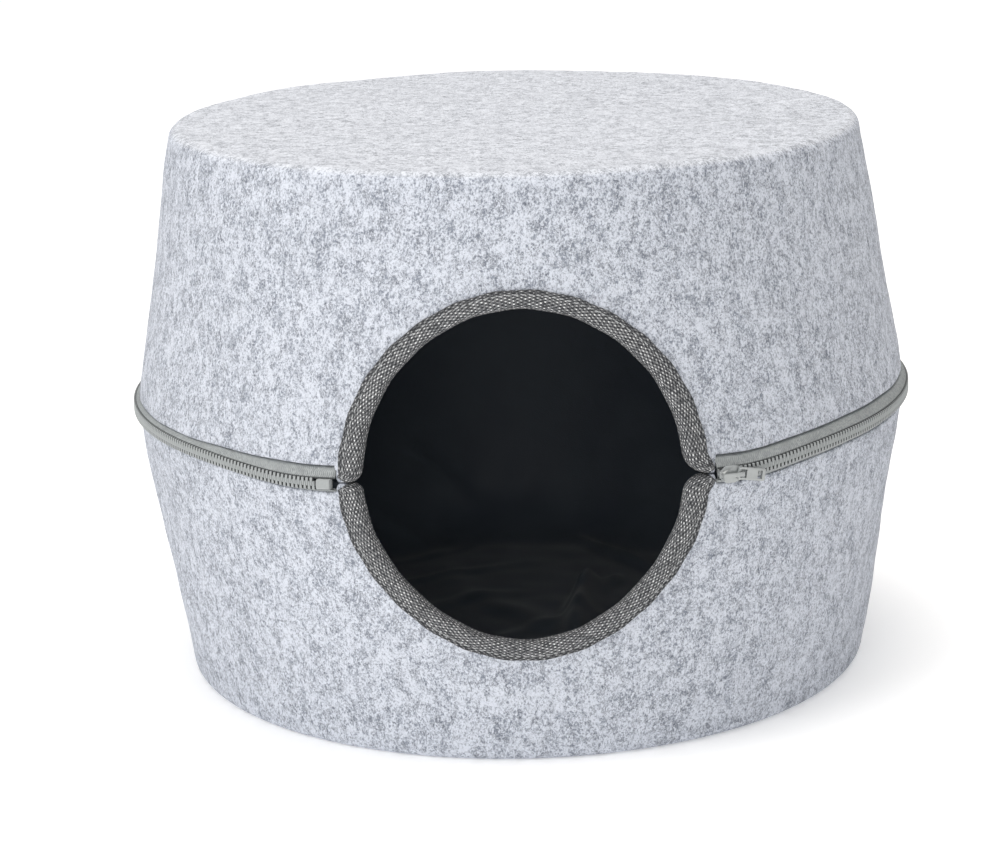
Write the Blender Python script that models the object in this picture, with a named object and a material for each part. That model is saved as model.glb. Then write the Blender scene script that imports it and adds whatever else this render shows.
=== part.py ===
"""Felt pet cave: two moulded felt shells zipped rim to rim, with a bound round entrance at the front.

Units are metres. X is across the entrance, Y runs from front (-Y) to back, Z is up.
The origin is on the floor, under the middle of the cave.
"""

import math

import bmesh
import bpy
import numpy as np

# Overall size, measured over the zip and from floor to top.
WIDTH = 0.400
DEPTH = 0.450
HEIGHT = 0.278
HALF = HEIGHT / 2

# Felt shells.
ZIP_PROUD = 0.00284
TAPER = 0.164
CORNER_RADIUS = 0.010
FELT = 0.004
ZIP_RIM = {"upper": 0.0080, "lower": 0.0060}
SLOPE = math.atan(TAPER)

# Loose dark lining, held at the rims, with a soft wide corner.
LINING_DEPTH = 0.0055
LINING = 0.001
LINING_CORNER = 0.040

# Round entrance and the tape folded over its edge.
ARCH_SIDE_RADIUS = 0.0766
ARCH_TOP_RADIUS = 0.0791
ARCH_SHARPNESS = 6
BINDING = 0.001
BINDING_WIDTH = 0.0084
GAP = 0.0003
FOLD = BINDING + GAP
STACK = LINING_DEPTH + LINING

# The turned-out corners, or ears, where the entrance meets the zip: right and left are not alike.
EAR_BOTTOM = 0.0019
EAR_CORNER = {"right": 0.009, "left": 0.0045}
EAR_SIDE = {"right": 0.0869, "left": 0.0841}
EAR_STEP = 0.0005
BINDING_END = {"right": 0.0875, "left": 0.0846}
BINDING_END_HEIGHT = 0.0034

# Zip: two tapes, the closed chain, the box at its start, the slider and its pull.
TAPE = 0.0008
TAPE_START = {"right": 0.0880, "left": 0.0852}
CHAIN_BACK = -0.00044
CHAIN_HALF_HEIGHT = 0.0023
SLIDER_X = 0.0969
SLIDER_HALF_LENGTH = 0.005
BOX_START = 0.0857
BOX_END = 0.0920
CHAIN_START = {"right": SLIDER_X + 0.96 * SLIDER_HALF_LENGTH, "left": BOX_END + 0.0003}
PULL_DROOP = math.radians(-12.0)
PULL_PIVOT = 0.0045

# How finely round shapes are divided.
TURN_STEPS = 72
CORNER_STEPS = 4
ARCH_STEPS = 16
EAR_STEPS = 5

SEMI_X = WIDTH / 2 - ZIP_PROUD
SEMI_Y = DEPTH / 2 - ZIP_PROUD

COLOURS = {
    "felt": ((0.60, 0.62, 0.67), 0.95, 0.0),
    "lining": ((0.012, 0.013, 0.015), 0.8, 0.0),
    "binding": ((0.09, 0.09, 0.095), 0.9, 0.0),
    "zip_tape": ((0.36, 0.38, 0.37), 0.85, 0.0),
    "zip_teeth": ((0.34, 0.36, 0.35), 0.5, 0.0),
    "zip_metal": ((0.62, 0.64, 0.63), 0.35, 0.8),
}


def clear_scene():
    for thing in list(bpy.data.objects):
        bpy.data.objects.remove(thing)


def material(name):
    """A plain Principled finish, made once for each name."""
    found = bpy.data.materials.get(name)
    if found:
        return found
    made = bpy.data.materials.new(name)
    made.use_nodes = True
    shader = made.node_tree.nodes["Principled BSDF"]
    colour, roughness, metallic = COLOURS[name]
    shader.inputs["Base Color"].default_value = (*colour, 1.0)
    shader.inputs["Roughness"].default_value = roughness
    shader.inputs["Metallic"].default_value = metallic
    return made


def add_object(name, points, faces, finish, smooth=True):
    mesh = bpy.data.meshes.new(name)
    mesh.from_pydata([tuple(map(float, p)) for p in points], [], faces)
    mesh.validate()
    solid = bmesh.new()
    solid.from_mesh(mesh)
    bmesh.ops.recalc_face_normals(solid, faces=solid.faces)
    solid.to_mesh(mesh)
    solid.free()
    mesh.materials.append(material(finish))
    if smooth:
        mesh.shade_smooth()
        mesh.set_sharp_from_angle(angle=math.radians(35))
    thing = bpy.data.objects.new(name, mesh)
    bpy.context.scene.collection.objects.link(thing)
    return thing


def ring_point(turn, inset, rise):
    """A point at an angle round the oval, set in from the felt's outer face and above the zip."""
    x = (SEMI_X - inset) * math.cos(turn)
    y = (SEMI_Y - inset) * math.sin(turn)
    return np.array([x, y, HALF + rise])


def wall_offset(slant, depth):
    """Inset and rise of a point so far up the sloping wall, and level behind it by a cloth so thick."""
    inset = slant * math.sin(SLOPE) + depth / math.cos(SLOPE)
    rise = slant * math.cos(SLOPE)
    return inset, rise


def front_turn(x, slant=0.0):
    """Angle of the front wall's point that is x from the middle at a slant height."""
    reach = SEMI_X - slant * math.sin(SLOPE)
    return -math.acos(x / reach)


def wall_point(x, slant, depth, side):
    """A point of the front wall: x across, slant up the wall from the zip, depth behind the face."""
    inset, rise = wall_offset(slant, depth)
    return ring_point(front_turn(x, slant), inset, side * rise)


def corner_profile(depth, radius):
    """Inset and rise from the top of the straight wall round the corner to the flat end."""
    centre_rise = HALF - depth - radius
    slant = (centre_rise + (depth + radius) * math.sin(SLOPE)) / math.cos(SLOPE)
    centre_inset = slant * math.sin(SLOPE) + (depth + radius) * math.cos(SLOPE)
    angles = np.linspace(SLOPE, math.pi / 2, CORNER_STEPS + 1)
    return [(centre_inset - radius * math.cos(a), centre_rise + radius * math.sin(a)) for a in angles]


def shell_turns():
    """Angles round the oval, with extra ones where the rim steps at the entrance's ears."""
    ears = []
    for word, sign in (("right", 1), ("left", -1)):
        for x in (EAR_SIDE[word], EAR_SIDE[word] + EAR_STEP, TAPE_START[word]):
            ears.append(front_turn(sign * x))
    even = [-math.pi + 2 * math.pi * i / TURN_STEPS for i in range(TURN_STEPS)]
    apart = 0.5 * math.pi / TURN_STEPS
    kept = [t for t in even if min(abs(t - e) for e in ears) > apart]
    return sorted(kept + ears)


def rim_slant(turn, zip_rim):
    """Slant height of a half's rim: low at the entrance's ears, and zip_rim where the zip shows."""
    x = SEMI_X * math.cos(turn)
    between_ears = -EAR_SIDE["left"] - EAR_STEP / 2 < x < EAR_SIDE["right"] + EAR_STEP / 2
    return EAR_BOTTOM if math.sin(turn) < 0 and between_ears else zip_rim


def make_half(name, side, outer, thickness, radius, zip_rim, finish):
    """An open bowl: its outer face is the wall at depth outer, its inner face lies thickness behind."""
    turns = shell_turns()
    count = len(turns)
    points = []
    faces = []
    rims = []
    for depth, corner in ((outer, radius), (outer + thickness, radius - thickness)):
        loops = [[wall_offset(rim_slant(t, zip_rim), depth) for t in turns]]
        loops += [[place] * count for place in corner_profile(depth, corner)]
        starts = []
        for loop in loops:
            starts.append(len(points))
            points += [ring_point(t, inset, side * rise) for t, (inset, rise) in zip(turns, loop)]
        pole = len(points)
        points.append(np.array([0.0, 0.0, HALF + side * (HALF - depth)]))
        rims.append(starts[0])
        for i in range(count):
            j = (i + 1) % count
            faces += [(low + i, low + j, high + j, high + i) for low, high in zip(starts[:-1], starts[1:])]
            faces.append((starts[-1] + i, starts[-1] + j, pole))
    for i in range(count):
        j = (i + 1) % count
        faces.append((rims[0] + i, rims[0] + j, rims[1] + j, rims[1] + i))
    return add_object(name, points, faces, finish)


def arch_radius(angle):
    """The entrance's radius at an angle above the zip: a little larger at the top than at the sides."""
    return ARCH_SIDE_RADIUS + (ARCH_TOP_RADIUS - ARCH_SIDE_RADIUS) * math.sin(angle) ** ARCH_SHARPNESS


def edge_path():
    """Points (x, slant) of the felt's cut edge over the entrance, from the right ear to the left one."""
    sides = []
    for word, sign in (("right", 1), ("left", -1)):
        corner = EAR_CORNER[word]
        centre_slant = EAR_BOTTOM + corner
        centre_x = math.sqrt((ARCH_SIDE_RADIUS + corner) ** 2 - centre_slant**2)
        meet = math.atan2(centre_slant, centre_x)
        turns = np.linspace(1.5 * math.pi, math.pi + meet, EAR_STEPS + 1)
        ear = [(sign * (centre_x + corner * math.cos(a)), centre_slant + corner * math.sin(a)) for a in turns]
        rest = np.linspace(meet, math.pi / 2, ARCH_STEPS + 1)[1:]
        arc = [(sign * arch_radius(a) * math.cos(a), arch_radius(a) * math.sin(a)) for a in rest]
        sides.append(ear + arc)
    right, left = sides
    return np.array(right + left[-2::-1])


def shifted(path, distance):
    """The path moved out of the entrance by a distance, at right angles to itself."""
    way = np.gradient(path, axis=0)
    way[[0, -1]] = (-1.0, 0.0)
    way /= np.linalg.norm(way, axis=1)[:, None]
    return path + distance * np.stack([way[:, 1], -way[:, 0]], axis=1)


def make_arch_cutter(word, side):
    """The solid that cuts one half of the round entrance through a half's wall."""
    path = edge_path()
    below = -0.005
    near, far = -0.012, 0.014
    stations = []
    for x, slant in path:
        corners = ((below, near), (slant, near), (slant, far), (below, far))
        stations.append([wall_point(x, height, depth, side) for height, depth in corners])
    cutter = sweep(f"{word}_arch_cutter", stations, "felt", False)
    cutter.hide_render = True
    cutter.display_type = "WIRE"
    return cutter


def cut_with(thing, cutter):
    modifier = thing.modifiers.new("entrance", "BOOLEAN")
    modifier.operation = "DIFFERENCE"
    modifier.solver = "EXACT"
    modifier.object = cutter


def sweep(name, stations, finish, smooth=True):
    """A closed solid from a row of sections, each a loop of the same number of points."""
    points = [p for section in stations for p in section]
    size = len(stations[0])
    faces = [tuple(range(size))]
    for i in range(len(stations) - 1):
        a, b = size * i, size * (i + 1)
        for k in range(size):
            m = (k + 1) % size
            faces.append((a + m, a + k, b + k, b + m))
    last = size * (len(stations) - 1)
    faces.append(tuple(range(last + size - 1, last - 1, -1)))
    return add_object(name, points, faces, finish, smooth)


def binding_section(length):
    """The folded tape's U section as (along, depth): along runs from the fold towards its edges."""
    front, back = -FOLD, STACK + FOLD
    inner_front, inner_back = -GAP, STACK + GAP
    nose = 0.0018
    bend = [(nose * (1 - math.cos(a)), nose * math.sin(a)) for a in np.linspace(0, math.pi / 2, 4)]
    outside = [(p, back - nose + q) for p, q in bend]
    outside_front = [(p, front + nose - q) for p, q in bend[::-1]]
    inside = [(length, inner_back), (BINDING, inner_back), (BINDING, inner_front), (length, inner_front)]
    return outside + [(length, back)] + inside + [(length, front)] + outside_front


def binding_lines():
    """The fold line and the outer line of the folded tape: matching rows of (x, slant) points."""
    path = edge_path()
    fold = shifted(path, -FOLD)
    outer = shifted(path, BINDING_WIDTH)
    for k in range(EAR_STEPS):
        share = k / EAR_STEPS
        right_end = np.array([BINDING_END["right"], BINDING_END_HEIGHT])
        left_end = np.array([-BINDING_END["left"], BINDING_END_HEIGHT])
        outer[k] = (1 - share) * right_end + share * outer[EAR_STEPS]
        outer[-1 - k] = (1 - share) * left_end + share * outer[-1 - EAR_STEPS]
    return fold, outer


def make_binding(name, side):
    """Woven tape folded over the cut edge of one half of the entrance."""
    stations = []
    for start, end in zip(*binding_lines()):
        length = float(np.linalg.norm(end - start))
        section = []
        for along, depth in binding_section(length):
            x, slant = start + along * (end - start) / length
            section.append(wall_point(x, slant, depth, side))
        stations.append(section)
    return sweep(name, stations, "binding")


def around_turns(ends):
    """The halves' angles from a point right of the entrance, round the back, to one left of it."""
    start = front_turn(ends["right"])
    end = 2 * math.pi + front_turn(-ends["left"])
    near = 0.2 * math.pi / TURN_STEPS
    between = sorted(t % (2 * math.pi) if t < start else t for t in shell_turns())
    return [start] + [t for t in between if start + near < t < end - near] + [end]


def tape_section(zip_rim):
    """One zip tape's section as (inset, rise): hidden behind the felt, then out to the chain.

    Each bend is (depth, share of the way from the teeth's edge to the felt's rim).
    """
    teeth_edge = 0.0029
    bends = [(0.0048, 0.88), (0.0034, 0.63), (0.0012, 0.45), (-0.0007, 0.25), (-0.0018, 0.0)]
    line = [(0.0048, 0.0180)]
    line += [(depth, teeth_edge + share * (zip_rim - teeth_edge)) for depth, share in bends]
    centre = np.array([wall_offset(slant, depth) for depth, slant in line])
    along = np.gradient(centre, axis=0)
    along /= np.linalg.norm(along, axis=1)[:, None]
    across = np.stack([along[:, 1], -along[:, 0]], axis=1) * TAPE / 2
    return np.vstack([centre + across, (centre - across)[::-1]])


def make_tape(name, side, zip_rim):
    section = tape_section(zip_rim)
    turns = around_turns(TAPE_START)
    stations = [[ring_point(t, inset, side * rise) for inset, rise in section] for t in turns]
    return sweep(name, stations, "zip_tape")


def make_chain():
    """The closed row of teeth, as a plain band whose outer face sets the cave's width and depth."""
    h = CHAIN_HALF_HEIGHT
    shoulder = -0.0021
    section = [
        (CHAIN_BACK, -h),
        (CHAIN_BACK, h),
        (shoulder, h),
        (-ZIP_PROUD, 0.6 * h),
        (-ZIP_PROUD, -0.6 * h),
        (shoulder, -h),
    ]
    turns = around_turns(CHAIN_START)
    stations = [[ring_point(t, inset, rise) for inset, rise in section] for t in turns]
    return sweep("zip_chain", stations, "zip_teeth")


def make_start_box():
    """The small moulded block at the zip's left end."""
    out, back, h = -0.0034, 0.0002, 0.0024
    bevel = 0.0006
    section = [
        (back, -h + bevel),
        (back, h - bevel),
        (back - bevel, h),
        (out + bevel, h),
        (out, h - bevel),
        (out, -h + bevel),
        (out + bevel, -h),
        (back - bevel, -h),
    ]
    start = 2 * math.pi + front_turn(-BOX_END)
    end = 2 * math.pi + front_turn(-BOX_START)
    turns = np.linspace(start, end, 3)
    stations = [[ring_point(t, inset, rise) for inset, rise in section] for t in turns]
    return sweep("zip_start_box", stations, "zip_teeth")


def zip_place(x):
    """Origin, tangent, outward normal and up of the chain's outer face at x, right of the entrance."""
    turn = front_turn(x)
    origin = ring_point(turn, -ZIP_PROUD, 0.0)
    tangent = np.array([-SEMI_X * math.sin(turn), SEMI_Y * math.cos(turn), 0.0])
    tangent /= np.linalg.norm(tangent)
    up = np.array([0.0, 0.0, 1.0])
    return origin, tangent, np.cross(tangent, up), up


def plate(outline, low, high):
    """Points and faces of a plate: an outline in (along, up), thick from low to high outwards."""
    size = len(outline)
    points = [(a, low, c) for a, c in outline] + [(a, high, c) for a, c in outline]
    faces = [tuple(range(size)), tuple(range(2 * size - 1, size - 1, -1))]
    for k in range(size):
        m = (k + 1) % size
        faces.append((k, size + k, size + m, m))
    return points, faces


def rectangle(a0, a1, c0, c1):
    return [(a0, c0), (a1, c0), (a1, c1), (a0, c1)]


def placed(points, place, droop=0.0):
    """Local (along, outwards, up) points as world points, after a droop about the pull's pivot."""
    origin, tangent, normal, up = place
    moved = []
    for a, b, c in points:
        arm = a - PULL_PIVOT
        along = PULL_PIVOT + arm * math.cos(droop) - c * math.sin(droop)
        rise = arm * math.sin(droop) + c * math.cos(droop)
        moved.append(origin + along * tangent + b * normal + rise * up)
    return moved


def join_solid(thing, others, operation):
    for other in others:
        modifier = thing.modifiers.new(operation.lower(), "BOOLEAN")
        modifier.operation = operation
        modifier.solver = "EXACT"
        modifier.object = other
        other.hide_render = True
        other.display_type = "WIRE"


def local_solid(name, outline, low, high, place, finish, droop=0.0):
    points, faces = plate(outline, low, high)
    return add_object(name, placed(points, place, droop), faces, finish, False)


def make_slider():
    """Slider body: outer plate, hidden back plate, the wedge between them and the bridge."""
    place = zip_place(SLIDER_X)
    half = SLIDER_HALF_LENGTH
    wide, narrow = 0.0041, 0.0031
    nose, nose_half = -0.0070, 0.0012
    outline = [
        (nose, -nose_half),
        (-half * 0.7, -wide),
        (half * 0.2, -wide),
        (half, -narrow),
        (half, narrow),
        (half * 0.2, wide),
        (-half * 0.7, wide),
        (nose, nose_half),
    ]
    outer = local_solid("zip_slider", outline, 0.0003, 0.0014, place, "zip_metal")
    back = local_solid(
        "slider_back", rectangle(-half, half * 0.9, -0.0024, 0.0024), -0.0043, -0.0033, place, "zip_metal"
    )
    wedge = local_solid(
        "slider_wedge", rectangle(-half * 0.9, -0.0008, -0.0018, 0.0018), -0.0034, 0.0004, place, "zip_metal"
    )
    bridge = local_solid(
        "slider_bridge", rectangle(-0.0068, 0.0050, -0.0010, 0.0010), 0.0013, 0.0043, place, "zip_metal"
    )
    window = local_solid(
        "slider_bridge_window", rectangle(-0.0054, 0.0040, -0.0030, 0.0030), 0.0014, 0.0033, place, "zip_metal"
    )
    join_solid(outer, [back, wedge, bridge], "UNION")
    join_solid(outer, [window], "DIFFERENCE")
    return outer


def make_pull():
    """Pull tab: a flat tag whose eye is held under the slider's bridge, drooping a little."""
    place = zip_place(SLIDER_X)
    half = 0.0029
    start, end = 0.0024, 0.0178
    chamfer = 0.0006
    low, high = 0.00175, 0.00295
    outline = [
        (start, -half + chamfer),
        (start + chamfer, -half),
        (end - chamfer, -half),
        (end, -half + chamfer),
        (end, half - chamfer),
        (end - chamfer, half),
        (start + chamfer, half),
        (start, half - chamfer),
    ]
    pull = local_solid("zip_pull", outline, low, high, place, "zip_metal", PULL_DROOP)
    eye = local_solid(
        "pull_eye", rectangle(0.0034, 0.0070, -0.0020, 0.0020), 0.001, 0.004, place, "zip_metal", PULL_DROOP
    )
    hole = local_solid(
        "pull_hole", rectangle(0.0134, 0.0161, -0.0019, 0.0019), 0.001, 0.004, place, "zip_metal", PULL_DROOP
    )
    join_solid(pull, [eye, hole], "DIFFERENCE")
    return pull


def main():
    clear_scene()
    for word, side in (("upper", 1), ("lower", -1)):
        rim = ZIP_RIM[word]
        cutter = make_arch_cutter(word, side)
        felt = make_half(f"{word}_shell", side, 0.0, FELT, CORNER_RADIUS, rim, "felt")
        lining = make_half(f"{word}_lining", side, LINING_DEPTH, LINING, LINING_CORNER, EAR_BOTTOM, "lining")
        cut_with(felt, cutter)
        cut_with(lining, cutter)
        make_binding(f"{word}_binding", side)
        make_tape(f"{word}_zip_tape", side, rim)
    make_chain()
    make_start_box()
    make_slider()
    make_pull()


main()
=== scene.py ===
"""Looks of the felt pet cave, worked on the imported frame: felt halves, linings, bound entrance and zip."""

import math

import bmesh
import bpy
import numpy as np
from mathutils import Matrix, Vector


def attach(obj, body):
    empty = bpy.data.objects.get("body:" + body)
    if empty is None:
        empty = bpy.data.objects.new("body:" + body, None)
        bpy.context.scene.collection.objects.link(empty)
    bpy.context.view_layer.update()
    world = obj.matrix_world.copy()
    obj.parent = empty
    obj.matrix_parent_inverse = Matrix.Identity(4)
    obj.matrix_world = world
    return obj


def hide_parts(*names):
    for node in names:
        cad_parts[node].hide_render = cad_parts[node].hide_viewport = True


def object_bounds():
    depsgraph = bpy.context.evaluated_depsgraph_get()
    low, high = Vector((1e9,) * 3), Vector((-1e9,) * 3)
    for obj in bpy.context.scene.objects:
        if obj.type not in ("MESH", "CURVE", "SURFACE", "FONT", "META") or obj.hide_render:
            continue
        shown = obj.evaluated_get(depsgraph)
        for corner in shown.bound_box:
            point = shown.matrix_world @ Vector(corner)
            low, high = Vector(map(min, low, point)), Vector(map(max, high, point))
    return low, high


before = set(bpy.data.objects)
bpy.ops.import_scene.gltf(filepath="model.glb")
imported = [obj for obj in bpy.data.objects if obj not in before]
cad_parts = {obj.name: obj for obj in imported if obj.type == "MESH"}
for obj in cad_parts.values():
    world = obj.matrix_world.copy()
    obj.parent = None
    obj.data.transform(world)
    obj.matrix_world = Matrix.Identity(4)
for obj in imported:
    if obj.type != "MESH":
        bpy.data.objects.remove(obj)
CAD_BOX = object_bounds()

# Sizes of the cave, in metres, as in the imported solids.
WIDTH = CAD_BOX[1][0] - CAD_BOX[0][0]
HEIGHT = CAD_BOX[1][2] - CAD_BOX[0][2]
DEPTH = 2 * CAD_BOX[1][1]
HALF = HEIGHT / 2
ZIP_PROUD = 0.00284
SLOPE = math.atan(0.164)
SEMI_X = WIDTH / 2 - ZIP_PROUD
SEMI_Y = DEPTH / 2 - ZIP_PROUD
FELT = 0.004
FELT_CORNER = 0.0055
FELT_ROUND = 0.0012
TOP_TILT = -0.0085
ZIP_RIM = {1: 0.0080, -1: 0.0047}
LOWER_RIM_LIFT = 0.0013
UPPER_RIM_DROP = 0.0042
SAG_LEFT = (-0.106, 0.034, 0.0036)
SAG_RIGHT = (0.102, 0.032, 0.0038)
SAG_FADE = 0.07
RIM_PINCH = 0.0011
LINING_DEPTH = 0.0055
LINING = 0.001
LINING_CORNER = 0.040
LINING_ROUND = 0.0004

# The entrance: the felt's cut edge, the turned-out corners at the zip and the tape folded over it all.
ARCH_SIDE = 0.0766
ARCH_TOP = 0.0801
ARCH_SHARPNESS = 6
EAR_BOTTOM = 0.0014
EAR_CORNER = {"right": 0.009, "left": 0.0045}
BINDING = 0.0010
BINDING_GAP = 0.0003
BINDING_WIDTH = 0.0084
BINDING_END = {"right": 0.0875, "left": 0.0846}
BINDING_END_HEIGHT = 0.0030
BINDING_NOSE = 0.0030
EAR_STEPS = 10
STITCH_PITCH = 0.0034
STITCH_INSET = 0.0025

# The zip.
TAPE = 0.0008
TAPE_START = {"right": 0.0884, "left": 0.0862}
FELT_TIP = {"right": 0.0892, "left": 0.0874}
TOOTH_PITCH = 0.0024
CHAIN_START = {"right": 0.0987, "left": 0.0943}
SLIDE = (-0.0030, -0.0019)
BLOCK_SLIDE = (-0.0020, 0.0011)

# The camera that took in the whole width at this distance, height and slight roll.
CAMERA_AT = Vector((0.0, -1.6247, 0.4913))
CAMERA_AIM = Vector((0.0, 0.0, 0.1390))
CAMERA_LENS = 115.2
CAMERA_ROLL = math.radians(-1.614)
CAMERA_SHIFT = (-0.0208, -0.0485)


# Mesh making.


def smooth_step(low, high, value):
    """0 below low, 1 above high and a cubic in between."""
    t = np.clip((value - low) / (high - low), 0.0, 1.0)
    return t * t * (3 - 2 * t)


def waves(points, size, seed, count=7):
    """Gentle unevenness from -1 to 1: a mean of sines whose crests lie about size apart, every way."""
    random = np.random.default_rng(seed)
    ways = random.normal(size=(count, 3))
    lengths = np.linalg.norm(ways, axis=1)[:, None]
    ways *= (2 * math.pi / size) * random.uniform(0.6, 1.4, (count, 1)) / lengths
    phase = random.uniform(0, 2 * math.pi, count)
    return np.sin(points @ ways.T + phase).sum(axis=-1) / math.sqrt(2.0 * count)


def grid_faces(rows, columns, wrap_rows, wrap_columns):
    """Quads of a grid of rows by columns of points, joined round where it wraps."""
    r = np.arange(rows if wrap_rows else rows - 1)
    c = np.arange(columns if wrap_columns else columns - 1)
    r, c = np.meshgrid(r, c, indexing="ij")
    r2, c2 = (r + 1) % rows, (c + 1) % columns
    corners = (r * columns + c, r * columns + c2, r2 * columns + c2, r2 * columns + c)
    return np.stack(corners, -1).reshape(-1, 4)


def new_piece(name, points, faces, finish, uv=None, body="root"):
    """A smooth mesh from whole arrays; faces is a list of arrays, each of faces with as many corners."""
    points = np.asarray(points, dtype=float).reshape(-1, 3)
    loops = np.concatenate([np.asarray(f).reshape(-1) for f in faces]).astype(np.int32)
    sizes = np.concatenate([np.full(len(f), np.asarray(f).shape[1]) for f in faces]).astype(np.int32)
    mesh = bpy.data.meshes.new(name)
    mesh.vertices.add(len(points))
    mesh.vertices.foreach_set("co", points.ravel())
    mesh.loops.add(len(loops))
    mesh.loops.foreach_set("vertex_index", loops)
    mesh.polygons.add(len(sizes))
    mesh.polygons.foreach_set("loop_start", np.concatenate([[0], np.cumsum(sizes)[:-1]]).astype(np.int32))
    mesh.update(calc_edges=True)
    if uv is not None:
        layer = mesh.uv_layers.new(name="along_across")
        layer.data.foreach_set("uv", np.asarray(uv, dtype=float).reshape(-1, 2)[loops].ravel())
    mesh.validate()
    mesh.shade_smooth()
    mesh.materials.append(finish)
    piece = bpy.data.objects.new(name, mesh)
    bpy.context.scene.collection.objects.link(piece)
    outward(piece)
    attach(piece, body)
    return piece


def outward(piece):
    """Turns the whole skin over if its volume comes out negative."""
    mesh = piece.data
    mesh.calc_loop_triangles()
    corners = np.empty(len(mesh.loop_triangles) * 3, dtype=np.int32)
    mesh.loop_triangles.foreach_get("vertices", corners)
    at = np.empty(len(mesh.vertices) * 3)
    mesh.vertices.foreach_get("co", at)
    a, b, c = at.reshape(-1, 3)[corners.reshape(-1, 3)].transpose(1, 0, 2)
    if (a * np.cross(b, c)).sum() < 0:
        mesh.flip_normals()


def sharpen(piece, degrees):
    """Keeps edges that turn by more than an angle crisp."""
    piece.data.set_sharp_from_angle(angle=math.radians(degrees))


# The cave's own surfaces.


def sag(turn, rise):
    """How far the halves and the zip hang down beside the entrance.

    There is a bell (middle, width, depth) at each side, and it dies away up and down the wall.
    """
    x = SEMI_X * np.cos(turn)
    bells = [depth * np.exp(-(((x - middle) / width) ** 2)) for middle, width, depth in (SAG_LEFT, SAG_RIGHT)]
    return sum(bells) * (np.sin(turn) < 0) * (1 - smooth_step(0.0, SAG_FADE, np.abs(rise)))


def oval(turn, inset, rise):
    """Points at an angle round the zip's oval, set in from the felt's outer face and above the zip."""
    turn, inset, rise = np.broadcast_arrays(turn, inset, rise)
    height = HALF + rise - sag(turn, rise)
    return np.stack([(SEMI_X - inset) * np.cos(turn), (SEMI_Y - inset) * np.sin(turn), height], -1)


def wall_offset(slant, depth):
    """Inset and rise of a point so far up the sloping wall, and level behind it by a cloth so thick."""
    return slant * math.sin(SLOPE) + depth / math.cos(SLOPE), slant * math.cos(SLOPE)


def front_turn(x, slant=0.0):
    """Angle of the front wall's point that is x from the middle at a slant height."""
    return -np.arccos(np.asarray(x) / (SEMI_X - np.asarray(slant) * math.sin(SLOPE)))


def front_wall(x, slant, depth, side):
    """Points of the front wall: x across, slant up from the zip, depth behind the felt's face."""
    inset, rise = wall_offset(np.asarray(slant), np.asarray(depth))
    return oval(front_turn(x, slant), inset, side * rise)


def arch_radius(angle):
    """The entrance's radius at an angle above the zip; the sine's sixth power eases it out at the top."""
    return ARCH_SIDE + (ARCH_TOP - ARCH_SIDE) * np.sin(angle) ** ARCH_SHARPNESS


def edge_path(arc_steps):
    """Points (x, slant) of the felt's cut edge over half the entrance, right to left: ear, arch, ear.

    Each ear is a circle on the far side of the edge, and it meets the arch where both run the same way.
    """
    sides = []
    for word, sign in (("right", 1), ("left", -1)):
        corner = EAR_CORNER[word]
        centre_slant = EAR_BOTTOM + corner
        centre_x = math.sqrt((ARCH_SIDE + corner) ** 2 - centre_slant**2)
        meet = math.atan2(centre_slant, centre_x)
        turn = np.linspace(1.5 * math.pi, math.pi + meet, EAR_STEPS + 1)
        angle = np.linspace(meet, math.pi / 2, arc_steps + 1)[1:]
        x = np.concatenate([centre_x + corner * np.cos(turn), arch_radius(angle) * np.cos(angle)])
        slant = np.concatenate([centre_slant + corner * np.sin(turn), arch_radius(angle) * np.sin(angle)])
        sides.append(np.stack([sign * x, slant], -1))
    right, left = sides
    return np.concatenate([right, left[-2::-1]])


def shifted(path, distance):
    """The path moved out of the entrance by a distance, at right angles to itself."""
    way = np.gradient(path, axis=0)
    way[[0, -1]] = (-1.0, 0.0)
    way /= np.linalg.norm(way, axis=1)[:, None]
    return path + distance * np.stack([way[:, 1], -way[:, 0]], axis=1)


def rim_height(turn, side):
    """How far up the wall a felt half starts: both come nearer to the zip at the left."""
    uneven = 0.00018 * np.sin(11 * turn + side) + 0.00012 * np.sin(29 * turn + 2 * side)
    if side < 0:
        return ZIP_RIM[side] + LOWER_RIM_LIFT * np.cos(turn) + uneven
    return ZIP_RIM[side] - UPPER_RIM_DROP * smooth_step(0.45, 1.0, -np.cos(turn)) + uneven


def lining_rim(turn, side):
    """The linings all but meet behind the zip."""
    return 0.0006 + 0.0002 * np.sin(17 * turn + side)


def shell_columns(side, zip_rim):
    """Angles round the oval and each one's rim height: over the entrance first, then round the back."""
    path = edge_path(60)
    front = front_turn(path[:, 0], path[:, 1])
    ease = np.linspace(0.0, 1.0, 13)[1:]
    turns, rims = {}, {}
    for word, first in (("right", path[0, 0]), ("left", path[-1, 0])):
        x = first + (math.copysign(FELT_TIP[word], first) - first) * ease
        turns[word] = front_turn(x, EAR_BOTTOM)
        pinch = RIM_PINCH * smooth_step(0.0, 0.25, ease) * (1 - smooth_step(0.6, 0.85, ease))
        climb = (zip_rim(turns[word], side) - EAR_BOTTOM) * smooth_step(0.72, 1.0, ease)
        rims[word] = EAR_BOTTOM - pinch + climb
    turns["left"] += 2 * math.pi
    back = np.linspace(turns["right"][-1], turns["left"][-1], 322)[1:-1]
    all_turns = [front[::-1], turns["right"], back, turns["left"][::-1]]
    all_rims = [path[::-1, 1], rims["right"], zip_rim(back, side) + 0 * back, rims["left"][::-1]]
    return np.concatenate(all_turns), np.concatenate(all_rims)


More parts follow.
